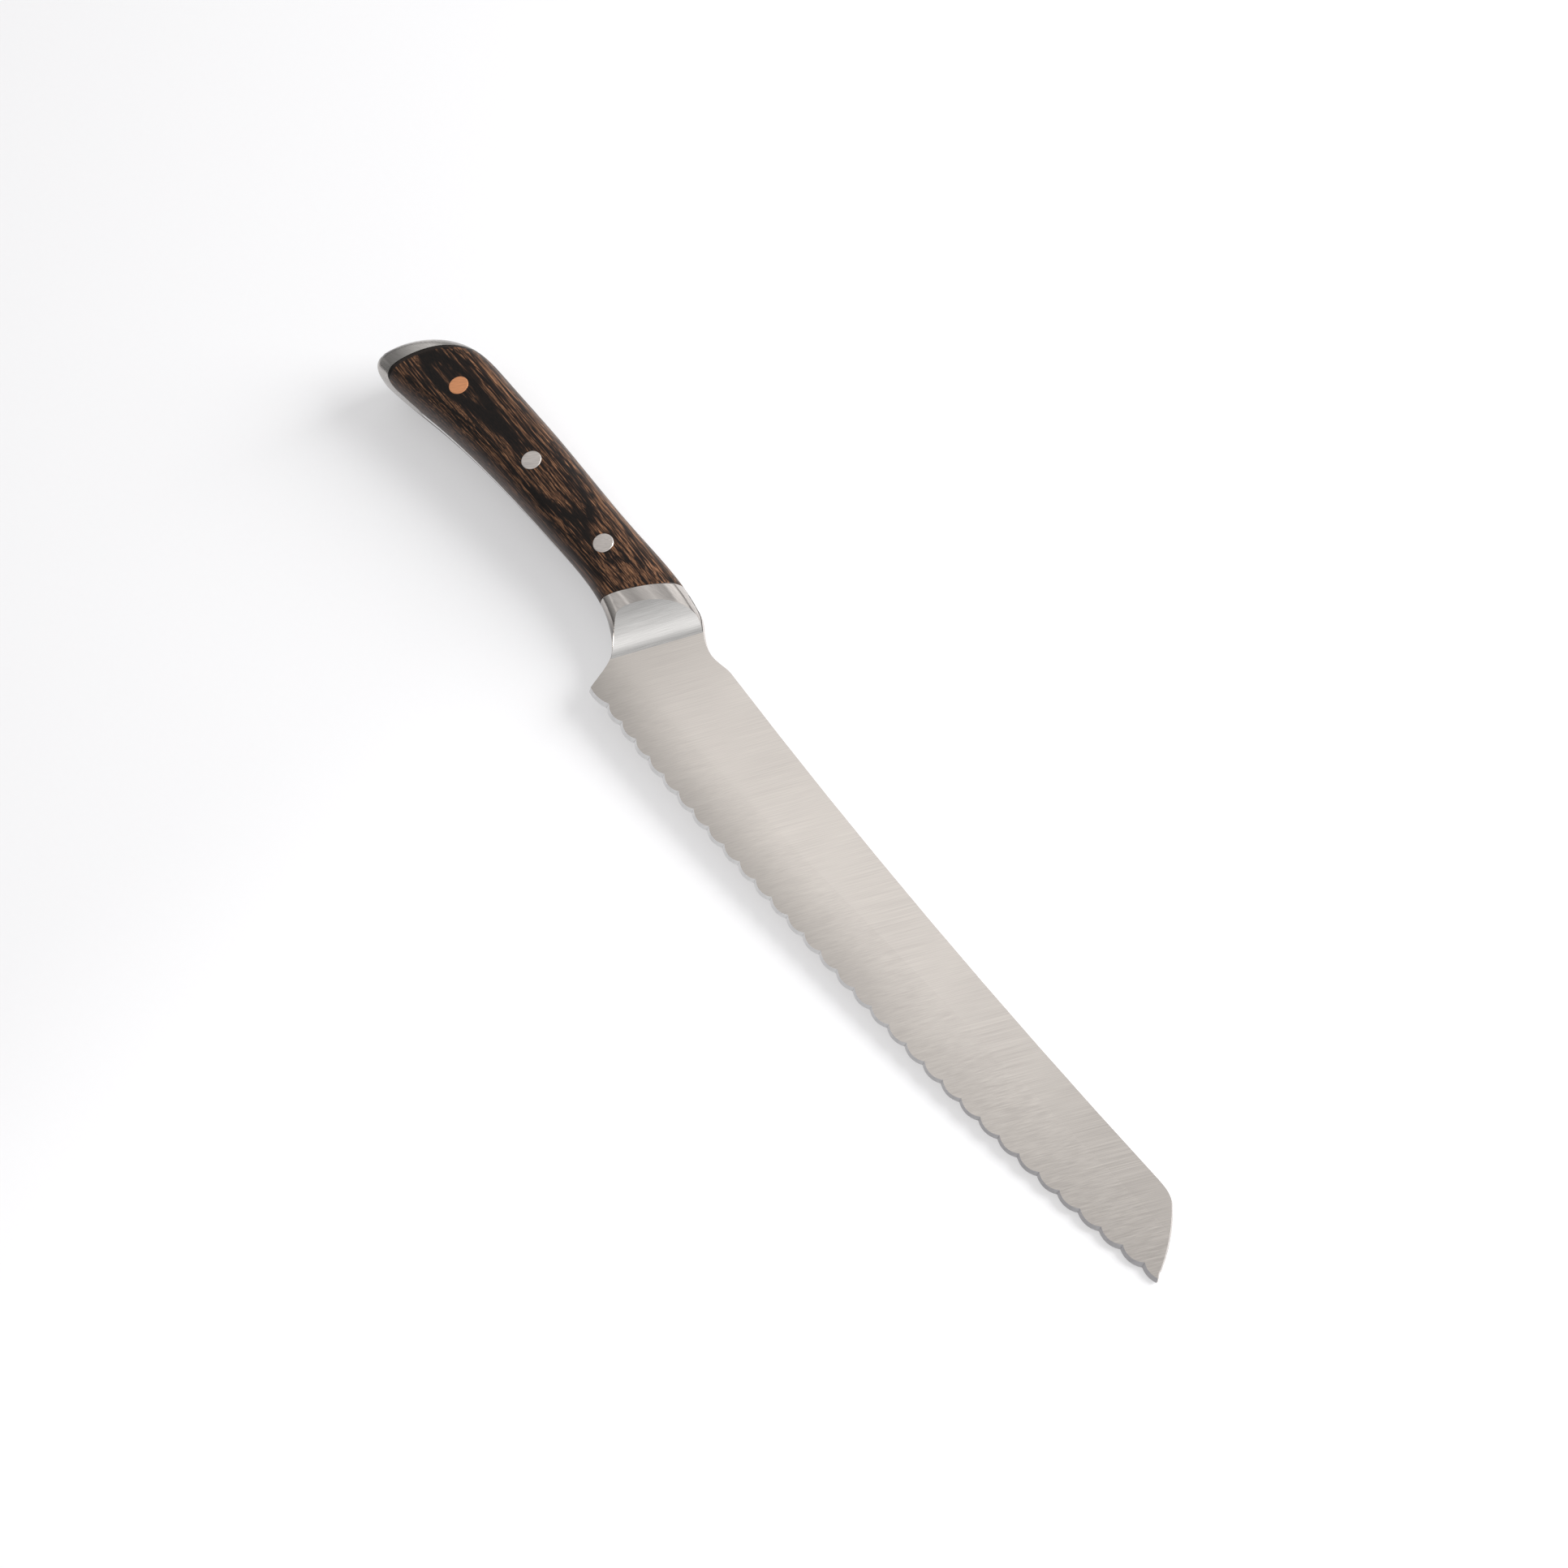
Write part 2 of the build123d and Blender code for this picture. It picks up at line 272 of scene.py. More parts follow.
def patch(left, right, bottom, top, columns, rows):
    """Grid of plan points filling four curves: left and right run from bottom to top."""
    across, up = columns[None, :, None], rows[:, None, None]
    sides = (1 - across) * spread(left, rows)[:, None] + across * spread(right, rows)[:, None]
    ends = (1 - up) * spread(bottom, columns)[None] + up * spread(top, columns)[None]
    low_corners = (1 - across) * left[0] + across * right[0]
    high_corners = (1 - across) * left[-1] + across * right[-1]
    return sides + ends - (1 - up) * low_corners - up * high_corners


def lift(plan, height):
    """Plan points with a height, or an array of heights, added."""
    return np.dstack([plan, np.broadcast_to(height, plan.shape[:-1])])


# ------------------------------------------------------------------ mesh building
class Shell:
    """Collects grids of points and joins them into one closed mesh."""

    def __init__(self):
        self.points = []
        self.faces = []
        self.finish = []
        self.count = 0

    def sheet(self, grid, finish=0):
        """Adds a grid of points as quads, in one of the object's materials."""
        rows, cols = grid.shape[:2]
        index = self.count + np.arange(rows * cols).reshape(rows, cols)
        quads = np.stack([index[:-1, :-1], index[:-1, 1:], index[1:, 1:], index[1:, :-1]], -1)
        self.faces.extend(quads.reshape(-1, 4).tolist())
        self.finish.extend([finish] * ((rows - 1) * (cols - 1)))
        self.points.append(grid.reshape(-1, 3))
        self.count += rows * cols
        return self

    def wall(self, edge, other):
        """Adds a strip between two rows of points."""
        return self.sheet(np.stack([edge, other]))

    def build(self, name, side=1):
        """The mesh as an object, mirrored to the left face when side is -1."""
        mesh = bpy.data.meshes.new(name)
        points = np.vstack(self.points) * MM
        points[:, 2] *= side
        bm = bmesh.new()
        verts = [bm.verts.new(p) for p in points]
        for corners, finish in zip(self.faces, self.finish):
            bm.faces.new([verts[i] for i in corners]).material_index = finish
        bmesh.ops.remove_doubles(bm, verts=bm.verts, dist=WELD * MM)
        bmesh.ops.dissolve_degenerate(bm, edges=bm.edges, dist=SLIVER * MM)
        bmesh.ops.recalc_face_normals(bm, faces=bm.faces)
        for face in bm.faces:
            face.smooth = True
        bm.to_mesh(mesh)
        bm.free()
        mesh.set_sharp_from_angle(angle=math.radians(SHARP_ANGLE))
        return add_object(name, mesh)


def add_object(name, data):
    """An object for a mesh, light or camera, put into the scene."""
    obj = bpy.data.objects.new(name, data)
    bpy.context.scene.collection.objects.link(obj)
    return obj


def place(obj, materials, slot, *replaced):
    """Gives a piece its materials and puts it in the place of CAD nodes; its slot is not used."""
    for mat in materials:
        obj.data.materials.append(mat)
    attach(obj, "root")
    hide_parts(*replaced)


# ------------------------------------------------------------------ dividing the handle
front_joint = np.linspace(*np.array(FRONT_JOINT), 80)
rear_joint = spline(REAR_JOINT)
front_top = crossing(front_joint, upper_line)
front_low = crossing(front_joint, lower_line)
rear_top = crossing(rear_joint, upper_line)
rear_low = crossing(rear_joint, lower_line)
corner_at = nearest(rear_joint, REAR_CORNER)
front_line = part(front_joint, front_low[0], front_top[0])
rear_line = part(rear_joint, corner_at, rear_top[0])
lip_line = part(rear_joint, corner_at, rear_low[0])


def scale(name, side):
    """One wooden scale: a crowned slab with softened edges along both joints, darker beside the cap."""
    bottom = np.vstack([lip_line, part(lower_line, rear_low[1], front_low[1])[1:]])
    top = part(upper_line, rear_top[1], front_top[1])
    plan = patch(rear_line, front_line, bottom, top, along_rows(WOOD_LENGTH, WOOD_PITCH), across_rows())
    joint = np.vstack([lip_line[::-1], rear_line[1:]])
    drop = np.maximum(rounded(plan, joint, WOOD_EDGE), rounded(plan, front_line, WOOD_EDGE))
    upper = lift(plan, np.maximum(body_height(plan) - drop, FACE))
    lower = lift(plan, FACE)
    rim, rest = upper[:, :RIM_COLUMNS], upper[:, RIM_COLUMNS - 1 :]
    shell = Shell().sheet(rim, 1).sheet(rest).sheet(lower[::-1])
    for edge in (np.s_[0], np.s_[-1], np.s_[:, 0], np.s_[:, -1]):
        shell.wall(upper[edge], lower[edge])
    return shell.build(name, side)


def crease_line():
    """Where the ramp cuts the crowned body: a D-shaped line, found along rays from the foot's middle."""
    # The foot's line meets the belly close by, and the shoulder further up
    foot = np.array(RAMP_FOOT)
    start = crossing(np.array([foot + 5 * ramp_along, foot - 5 * ramp_along]), lower_line)[2]
    end = crossing(np.array([foot + 10 * ramp_along, foot + 60 * ramp_along]), shoulder_curve)[2]
    middle = (start + end) / 2
    line = [start]
    for angle in np.linspace(0, math.pi, CREASE_RAYS)[1:-1]:
        ray = -ramp_along * math.cos(angle) + ramp_back * math.sin(angle)
        rim = crossing(np.array([middle, middle + 200 * ray]), outline)[2]
        run = np.linspace(0, min(math.dist(rim, middle), CREASE_REACH), CREASE_SAMPLES)
        points = middle + run[:, None] * ray
        over = ramp_height(points) - body_height(points)
        first = int(np.argmax(over > 0))
        share = over[first - 1] / (over[first - 1] - over[first])
        line.append(points[first - 1] + share * (points[first] - points[first - 1]))
    return np.array([*line, end])


crease = crease_line()


def cheek(name, side):
    """One side of the bolster: the crowned body as far as the crease, then the curved ramp."""
    rows = across_rows()
    low_end = nearest(lower_line, crease[0])
    high_end = crossing(np.array([crease[-1] - ramp_along, crease[-1] + ramp_along]), upper_line)[1]
    bottom = part(lower_line, front_low[1], low_end)
    bottom[-1] = crease[0]
    top = part(upper_line, front_top[1], high_end)
    plan = patch(front_line, crease, bottom, top, along_rows(CHEEK_LENGTH, CHEEK_PITCH), rows)
    height = body_height(plan) - rounded(plan, front_line, STEEL_EDGE)
    height[:, -1] = ramp_height(plan[:, -1])
    upper, lower = lift(plan, np.maximum(height, FACE)), lift(plan, FACE)

    foot = np.array([crease[0], crease[-1]])
    down = along_rows(RAMP_LENGTH, RAMP_PITCH, RAMP_STEPS)[None, :, None]
    ramp_plan = (1 - down) * spread(crease, rows)[:, None] + down * spread(foot, rows)[:, None]
    ramp = lift(ramp_plan, np.maximum(ramp_height(ramp_plan), FACE))
    ramp[:, 0] = upper[:, -1]

    shell = Shell().sheet(upper).sheet(ramp, 1).sheet(lower).sheet(lift(ramp_plan, FACE))
    shell.wall(upper[:, 0], lower[:, 0]).wall(upper[0], lower[0]).wall(upper[-1], lower[-1])
    return shell.build(name, side)


def cap(name):
    """The butt cap: a rounded crescent, whole through the thickness, with a lip under the wood."""
    corner = nearest(outline, BUTT_CORNER)
    start = crossing(part(rear_joint, 0, corner_at), outline)[1]
    end = crossing(part(rear_joint, corner_at, len(rear_joint) - 1), outline)[1]
    back = rear_line[::-1]
    columns, lip_columns = np.linspace(0, 1, CAP_COLUMNS), np.linspace(0, 1, LIP_COLUMNS)
    inner = np.vstack([spread(back, columns), spread(lip_line, lip_columns)[1:]])
    butt, lip = part(outline, start, corner), part(outline, corner, end)
    outer = np.vstack([spread(butt, columns), spread(lip, lip_columns)[1:]])
    rows = np.concatenate([CAP_EDGE_ROWS, 1 - crown_rows(CAP_ROWS)[-2::-1]])[None, :, None]
    plan = (1 - rows) * inner[:, None] + rows * outer[:, None]
    joint = np.vstack([back, lip_line[1:]])
    height = np.maximum(body_height(plan) - rounded(plan, joint, STEEL_EDGE), 0)
    height[:, -1] = 0
    upper, lower = lift(plan, height), lift(plan, -height)
    return Shell().sheet(upper).sheet(lower).wall(upper[:, 0], lower[:, 0]).build(name)


def rivet(name, side, centre):
    """One half of a rivet: a head that follows the handle's crown, with a broken edge, on its shank."""
    turn = np.linspace(0, math.tau, HEAD_SIDES + 1)
    around = np.column_stack([np.cos(turn), np.sin(turn)])
    rings = np.array(HEAD_RINGS)
    plan = np.array(centre) + rings[:, None, None] * around
    broken = np.maximum(rings - HEAD_RADIUS + HEAD_BREAK_WIDTH, 0)[:, None] / HEAD_BREAK_WIDTH
    head = lift(plan, body_height(plan) + HEAD_PROUD - HEAD_BREAK_DROP * broken**2)
    seat = half_thickness(centre[0]) - HEAD_LENGTH

    def ring(radius, height):
        return lift((np.array(centre) + radius * around)[None], height)[0]

    shank = SHANK_RADIUS[side]
    profile = [head[-1], ring(HEAD_RADIUS, seat), ring(shank, seat), ring(shank, 0), ring(0, 0)]
    shell = Shell().sheet(head)
    for edge, below in zip(profile, profile[1:]):
        shell.wall(edge, below)
    return shell.build(name, side)


# ------------------------------------------------------------------ node helpers
def material(name):
    """An empty node material and the calls that build it."""
    mat = bpy.data.materials.new(name)
    mat.use_nodes = True
    mat.node_tree.nodes.clear()
    return mat, Nodes(mat.node_tree)


class Nodes:
    """Short calls for building a shader; every input may be a number or another node's output."""

    def __init__(self, tree):
        self.tree = tree
        self.coords = None

    def add(self, kind, settings=None, inputs=None):
        node = self.tree.nodes.new(kind)
        for key, value in (settings or {}).items():
            setattr(node, key, value)
        for key, value in (inputs or {}).items():
            if isinstance(value, bpy.types.NodeSocket):
                self.tree.links.new(value, node.inputs[key])
            else:
                node.inputs[key].default_value = value
        return node

    def position(self):
        """Object coordinates in millimetres."""
        if self.coords is None:
            inputs = {0: self.add("ShaderNodeTexCoord").outputs["Object"], "Scale": 1 / MM}
            self.coords = self.add("ShaderNodeVectorMath", {"operation": "SCALE"}, inputs).outputs[0]
        return self.coords

    def streaks(self, length, width, turn=0.0, detail=3.0, roughness=0.6):
        """Noise drawn out along one direction of the plan, in millimetres."""
        rotation = (0, 0, math.radians(turn))
        inputs = {"Vector": self.position(), "Scale": (length, width, width), "Rotation": rotation}
        drawn_out = self.add("ShaderNodeMapping", {"vector_type": "TEXTURE"}, inputs).outputs[0]
        return self.noise(drawn_out, 1.0, detail, roughness)

    def noise(self, vector, scale=1.0, detail=3.0, roughness=0.5):
        inputs = {"Vector": vector, "Scale": scale, "Detail": detail, "Roughness": roughness}
        return self.add("ShaderNodeTexNoise", None, inputs).outputs["Fac"]

    def math(self, operation, a, b=0.0, c=0.0, clamp=False):
        settings = {"operation": operation, "use_clamp": clamp}
        return self.add("ShaderNodeMath", settings, {0: a, 1: b, 2: c}).outputs[0]

    def times(self, value, *others):
        """Product of values, taken one after the other."""
        for other in others:
            value = self.math("MULTIPLY", value, other)
        return value

    def total(self, value, *others):
        """Sum of values, taken one after the other."""
        for other in others:
            value = self.math("ADD", value, other)
        return value

    def share(self, value, part):
        """1 where the value is 1, falling by a part of that towards 0."""
        return self.math("MULTIPLY_ADD", value, part, 1 - part)

    def loss(self, value, part):
        """1 where the value is 0, falling by a part of that towards 1."""
        return self.math("MULTIPLY_ADD", value, -part, 1.0)

    def span(self, value, low, high, to_low=0.0, to_high=1.0, linear=False):
        """A value's way from low to high, carried over to another span and held at its ends."""
        inputs = {0: value, 1: low, 2: high, 3: to_low, 4: to_high}
        settings = {"clamp": True, "interpolation_type": "LINEAR" if linear else "SMOOTHSTEP"}
        return self.add("ShaderNodeMapRange", settings, inputs).outputs[0]

    def mix(self, share, a, b):
        """Colour a turning into colour b as the share goes from 0 to 1."""
        node = self.add("ShaderNodeMix", {"data_type": "RGBA"}, {0: share})
        for index, value in ((6, a), (7, b)):
            if isinstance(value, bpy.types.NodeSocket):
                self.tree.links.new(value, node.inputs[index])
            else:
                node.inputs[index].default_value = (*value, 1)
        return node.outputs[2]

    def ramp(self, value, stops):
        """Colour by value, from stops that are pairs of value and colour or grey."""
        node = self.add("ShaderNodeValToRGB", None, {0: value})
        elements = node.color_ramp.elements
        while len(elements) < len(stops):
            elements.new(0.5)
        for element, (at, tint) in zip(elements, stops):
            rgb = tint if isinstance(tint, tuple) else (tint,) * 3
            element.position, element.color = at, (*rgb, 1)
        return node.outputs[0]

    def shaded(self, tone, base):
        """A colour darkened by a tone, where 1 leaves it as it is."""
        return self.mix(tone, (0.0, 0.0, 0.0), base)

    def separate(self, vector):
        return self.add("ShaderNodeSeparateXYZ", None, {0: vector}).outputs

    def bump(self, height, strength, distance):
        inputs = {"Height": height, "Strength": strength, "Distance": distance * MM}
        return self.add("ShaderNodeBump", None, inputs).outputs[0]

    def surface(self, **inputs):
        """Principled surface, with its inputs by name and _ for a space."""
        named = {key.replace("_", " "): value for key, value in inputs.items()}
        shader = self.add("ShaderNodeBsdfPrincipled", None, named).outputs[0]
        self.add("ShaderNodeOutputMaterial", None, {0: shader})


def colour(r, g, b):
    """Linear colour from everyday 0 to 255 values, by the sRGB curve."""
    return tuple(((v / 255 + 0.055) / 1.055) ** 2.4 if v > 10 else v / 255 / 12.92 for v in (r, g, b))


# ------------------------------------------------------------------ materials
# Painted reflections on the steel of the cheek and the cap, as pairs of Y and the share of the full
# brightness there
CHEEK_PAINTED_REFLECTIONS = [
    (-5.0, 0.2), (1.0, 0.25), (4.0, 0.67), (6.8, 0.77), (9.0, 0.68), (9.7, 1.0), (10.4, 0.62),
    (12.5, 0.54), (16.8, 0.84), (19.6, 0.62), (21.0, 0.57), (22.6, 0.6), (24.0, 0.85),
]
CAP_PAINTED_REFLECTIONS = [
    (-3.0, 0.95), (-1.5, 0.9), (-0.6, 0.6), (0.6, 0.32), (4.0, 0.36), (6.9, 0.58),
    (10.0, 0.8), (13.8, 0.98), (18.9, 0.66), (24.0, 0.6),
]

# The cutting edge keeps one Y up to its bend, and rises from there with the square of the way
EDGE_Y = -13.9
EDGE_BEND = 40.0
EDGE_RISE = 46.7
# Painted reflection on the bevel, its colour towards the heel and towards the tip, and how much less
# metallic it is
BEVEL_PAINTED_REFLECTION = [(0.0, (0.82, 0.81, 0.81)), (1.0, (0.44, 0.43, 0.44))]
BEVEL_DULLNESS = 0.85
# Shares of brightness taken by painted shade above the grind towards the tip, and in the band along the
# ramp's foot
GRIND_PAINTED_SHADE = 0.08
RAMP_FOOT_PAINTED_SHADE = 0.15

# The wood's dark (0) and brown (1) patches from butt to bolster, then its dyes from dark to light
FIGURE_SPAN = (-120.0, -20.0)
FIGURE = [
    (0.0, 0.7), (0.12, 0.5), (0.17, 0.0), (0.32, 0.02), (0.38, 0.9), (0.66, 1.0), (0.69, 0.05),
    (0.75, 0.0), (0.78, 0.9), (0.86, 0.9), (0.88, 0.05), (0.91, 0.05), (0.93, 0.9), (1.0, 0.9),
]
DYES = [
    (0.0, colour(8, 7, 7)), (0.14, colour(20, 14, 12)), (0.4, colour(74, 51, 36)),
    (1.0, colour(120, 86, 62)),
]
# The patches end in tongues about a middle line, which bends towards the edge behind one X
TONGUE_Y = 15.0
TONGUE_BEND = -65.0
TONGUE_FALL = -0.0011
TONGUE_POWER = 1.8
# How the tongues run on down the rounded side, and how the layers close again round the butt
SIDE_TOP = 9.9
SIDE_SHARE = 0.5
BUTT_START = -112.0
BUTT_CLOSING = 0.12


def edge_shade(n, base):
    """The blade's colour and metallic, with painted shade near the edge, heel and tip, and a dull grey
    bevel with a painted reflection.
    """
    x, y, _ = n.separate(n.position())
    past_bend = n.math("MAXIMUM", n.math("SUBTRACT", x, EDGE_BEND), 0.0)
    ahead = n.math("DIVIDE", past_bend, EDGE_RISE)
    above_edge = n.math("SUBTRACT", n.math("SUBTRACT", y, EDGE_Y), n.times(ahead, ahead))
    # Painted shade: darker towards the edge, at the heel and at the tip, and above the grind towards the
    # tip
    edge_painted_shade_depth = n.span(x, 60.0, 200.0, 0.36, 0.1)
    near_edge_painted_shade = n.math("SUBTRACT", 1.0, n.times(edge_painted_shade_depth, n.span(above_edge, -2.0, 17.0, 1.0, 0.0)))
    heel = n.span(x, -10.0, 30.0, 0.8, 1.0)
    tip = n.span(x, 120.0, 235.0, 1.0, 0.75)
    leaning = n.separate(n.add("ShaderNodeNewGeometry").outputs["True Normal"])[1]
    above_grind = n.times(n.span(leaning, -0.02, -0.007), n.span(x, 110.0, 200.0))
    painted_face_shade = n.times(near_edge_painted_shade, heel, tip, n.loss(above_grind, GRIND_PAINTED_SHADE))
    # Painted reflection: the bevel is lighter towards the heel and darker towards the tip
    on_bevel = n.span(leaning, -0.5, -0.25, 1.0, 0.0)
    bevel = n.ramp(n.span(x, 80.0, 190.0), BEVEL_PAINTED_REFLECTION)
    metallic = n.math("SUBTRACT", 1.0, n.times(on_bevel, BEVEL_DULLNESS))
    return n.mix(on_bevel, n.shaded(painted_face_shade, base), bevel), metallic


def ramp_shade(n, base):
    """The ramp's colour and metallic, with painted shade in a band along its foot and again towards its
    top.
    """
    x, y, _ = n.separate(n.position())
    across = n.times(n.math("SUBTRACT", x, RAMP_FOOT[0]), float(ramp_back[0]))
    up = n.math("MULTIPLY_ADD", n.math("SUBTRACT", y, RAMP_FOOT[1]), float(ramp_back[1]), across)
    # Painted shade in a band along the foot and towards the top
    band = n.times(n.span(up, 0.0, 1.0), n.span(up, 1.2, 3.4, 1.0, 0.0))
    tone = n.times(n.loss(band, RAMP_FOOT_PAINTED_SHADE), n.span(up, 6.5, 13.0, 1.0, 0.76))
    return n.shaded(tone, base), 1.0


def painted_reflection_bands(bands):
    """Painted reflections: a shade with the brightness of bands along Y."""
    low, high = bands[0][0], bands[-1][0]
    stops = [((y - low) / (high - low), tone) for y, tone in bands]

    def shade(n, base):
        across = n.span(n.separate(n.position())[1], low, high, linear=True)
        return n.shaded(n.ramp(across, stops), base), 1.0

    return shade


def brushed(name, dark, light, roughness, turn, anisotropic, length, width, shade):
    """Steel with fine parallel grinding lines; the shade gives its final colour, with painted light and
    shade, and its metallic.
    """
    mat, n = material(name)
    fine = n.streaks(length, width, turn, 3.0, 0.65)
    broad = n.streaks(length * 5, width * 5, turn, 2.0, 0.5)
    cloud = n.noise(n.position(), 0.02, 2.0)
    tone = n.total(n.span(fine, 0.3, 0.7, -0.4, 0.4), n.span(broad, 0.3, 0.7, -0.03, 0.03))
    tone = n.math("ADD", tone, n.span(cloud, 0.3, 0.7, 0.3, 0.7), clamp=True)
    base, metallic = shade(n, n.mix(tone, colour(*dark), colour(*light)))
    angle = math.radians(turn)
    lay = n.add("ShaderNodeCombineXYZ", None, {0: math.cos(angle), 1: math.sin(angle)}).outputs[0]
    n.surface(
        Base_Color=base, Metallic=metallic,
        Roughness=n.span(fine, 0.25, 0.75, roughness * 0.9, roughness * 1.12),
        Anisotropic=anisotropic, Tangent=lay, Normal=n.bump(fine, 0.1, 0.02),
    )
    return mat


def polished(name, tint, roughness, turn, shade):
    """Steel polished bright, with a faint drag of the buffing wheel."""
    mat, n = material(name)
    smear = n.streaks(7.0, 0.5, turn, 3.0, 0.6)
    haze = n.noise(n.position(), 0.25, 3.0)
    dull = colour(*[v - 12 for v in tint])
    base, metallic = shade(n, n.mix(n.span(smear, 0.3, 0.7), dull, colour(*tint)))
    hazed = n.span(haze, 0.3, 0.7, roughness * 0.8, roughness * 1.3)
    n.surface(
        Base_Color=base, Metallic=metallic,
        Roughness=n.total(hazed, n.span(smear, 0.4, 0.7, 0.0, 0.03)), Normal=n.bump(smear, 0.05, 0.01),
    )
    return mat


def wood():
    """Dyed, pressed hardwood: thin layers that the crown cuts into long tongues towards the blade."""
    mat, n = material("scale_wood")
    x, y, z = n.separate(n.position())

    # A place along the layers: X, pushed on with the way from the tongues' middle line
    wander = n.span(n.streaks(30.0, 6.0, 0.0, 2.0, 0.5), 0.2, 0.8, -7.0, 7.0)
    ragged = n.span(n.streaks(14.0, 0.4, 0.0, 2.0, 0.6), 0.3, 0.7, -5.0, 5.0)
    behind = n.math("MINIMUM", n.math("SUBTRACT", x, TONGUE_BEND), 0.0)
    middle_y = n.math("MULTIPLY_ADD", n.times(behind, behind), TONGUE_FALL, TONGUE_Y)
    aside = n.math("ABSOLUTE", n.math("SUBTRACT", y, middle_y))
    below_top = n.math("SUBTRACT", SIDE_TOP, n.math("ABSOLUTE", z))
    round_the_side = n.math("MULTIPLY_ADD", below_top, SIDE_SHARE, aside)
    tongue = n.times(n.math("POWER", round_the_side, TONGUE_POWER), n.span(x, -100.0, -55.0, 1.9, 0.5))
    butt = n.math("MINIMUM", n.math("SUBTRACT", x, BUTT_START), 0.0)
    closing = n.times(butt, butt, BUTT_CLOSING)
    place_along = n.total(x, n.total(tongue, closing), n.total(wander, ragged))

    # Dark and brown patches, the layers in them, and the grain
    figure = n.ramp(n.span(place_along, *FIGURE_SPAN, linear=True), FIGURE)
    outward = n.span(place_along, -26.0, -20.0)
    figure = n.math("MULTIPLY_ADD", n.math("SUBTRACT", 1.0, outward), figure, outward)
    inputs = {"W": place_along, "Scale": 0.1, "Detail": 3.0, "Roughness": 0.7}
    layers = n.add("ShaderNodeTexNoise", {"noise_dimensions": "1D"}, inputs).outputs["Fac"]
    layers = n.span(layers, 0.44, 0.56)
    fibre = n.span(n.streaks(7.0, 0.2, 0.0, 2.0, 0.6), 0.43, 0.55)
    veins = n.span(n.streaks(22.0, 0.5, 0.0, 2.0, 0.6), 0.46, 0.52)
    flecks = n.span(n.streaks(1.6, 0.14, 0.0, 2.0, 0.5), 0.4, 0.6)
    light = n.times(figure, n.share(layers, 0.7), n.share(veins, 0.82), n.share(fibre, 0.65))
    base = n.mix(n.times(flecks, 0.3), n.ramp(light, DYES), colour(34, 25, 20))

    # A painted grey sheen low on the side that faces the edge
    facing = n.separate(n.add("ShaderNodeNewGeometry").outputs["Normal"])[1]
    base = n.mix(n.span(facing, -0.95, -0.3, 0.3, 0.0), base, colour(118, 108, 106))
    n.surface(
        Base_Color=base, Roughness=n.span(fibre, 0.0, 1.0, 0.42, 0.32), Specular_IOR_Level=0.12,
        Normal=n.bump(fibre, 0.12, 0.03),
    )
    return mat


def wood_rim():
    """The same wood made nearly black where its edge is broken along the cap."""
    mat, n = material("wood_edge")
    fibre = n.span(n.streaks(6.0, 0.3, 0.0, 2.0, 0.6), 0.35, 0.65)
    base = n.mix(fibre, colour(14, 12, 11), colour(30, 23, 19))
    n.surface(Base_Color=base, Roughness=0.4, Specular_IOR_Level=0.16)
    return mat


def rivet_metal(name, tint, turn):
    """Rivet heads ground flush, with short lines across them."""
    mat, n = material(name)
    lines = n.streaks(4.0, 0.12, turn, 3.0, 0.6)
    base = n.mix(n.span(lines, 0.3, 0.7), colour(*[v * 0.86 for v in tint]), colour(*tint))
    n.surface(
        Base_Color=base, Metallic=1.0, Roughness=n.span(lines, 0.3, 0.7, 0.28, 0.42),
        Normal=n.bump(lines, 0.15, 0.02),
    )
    return mat


# The blade and the ramp carry painted shade, the bevel a painted reflection, and the cheek and the cap
# painted reflections in bands
blade_metal = brushed(
    "blade_steel", (215, 208, 202), (231, 224, 217), 0.32, RAMP_ANGLE,
    anisotropic=0.6, length=22.0, width=0.2, shade=edge_shade,
)
cheek_metal = polished("bolster_steel", (220, 214, 209), 0.13, 20, painted_reflection_bands(CHEEK_PAINTED_REFLECTIONS))
ramp_metal = brushed(
    "ramp_steel", (210, 208, 206), (232, 230, 228), 0.19, RAMP_ANGLE,
    anisotropic=0.5, length=8.0, width=0.16, shade=ramp_shade,
)
cap_metal = brushed(
    "cap_steel", (176, 172, 168), (200, 196, 192), 0.26, 30,
    anisotropic=0.3, length=9.0, width=0.2, shade=painted_reflection_bands(CAP_PAINTED_REFLECTIONS),
)
pakkawood = wood()
dark_rim = wood_rim()
stainless = rivet_metal("rivet_steel", (203, 196, 191), 50)
copper = rivet_metal("rivet_copper", (222, 155, 112), 50)

# ------------------------------------------------------------------ pieces
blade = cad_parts["blade_and_tang"]
blade.data.materials.clear()
blade.data.materials.append(blade_metal)

for word, side in (("right", 1), ("left", -1)):
    place(scale(f"wood_{word}", side), [pakkawood, dark_rim], "scale_wood", f"scale_{word}")
    place(cheek(f"cheek_{word}", side), [cheek_metal, ramp_metal], "bolster_steel", f"bolster_{word}")
place(cap("cap"), [cap_metal], "cap_steel", "butt_cap")
for spot, centre in RIVETS.items():
    metal, slot = (copper, "rivet_copper") if spot == "rear" else (stainless, "rivet_steel")
    for half, side in (("male", 1), ("female", -1)):
        place(rivet(f"pin_{spot}_{half}", side, centre), [metal], slot, f"rivet_{spot}_{half}")

# ------------------------------------------------------------------ floor, light and camera
# The floor runs through these two places, given as X and Z: just under the handle and the tip
FLOOR_LOW = (-90.0, -10.15)
FLOOR_TIP = (235.0, -1.3)
FLOOR_SIZE = 6.0
FLOOR_GREYS = [(0.36, 0.36, 0.365), (0.37, 0.37, 0.375)]
# Colour of the floor's painted glow
FLOOR_PAINTED_GLOW = (0.995, 0.985, 0.99, 1.0)

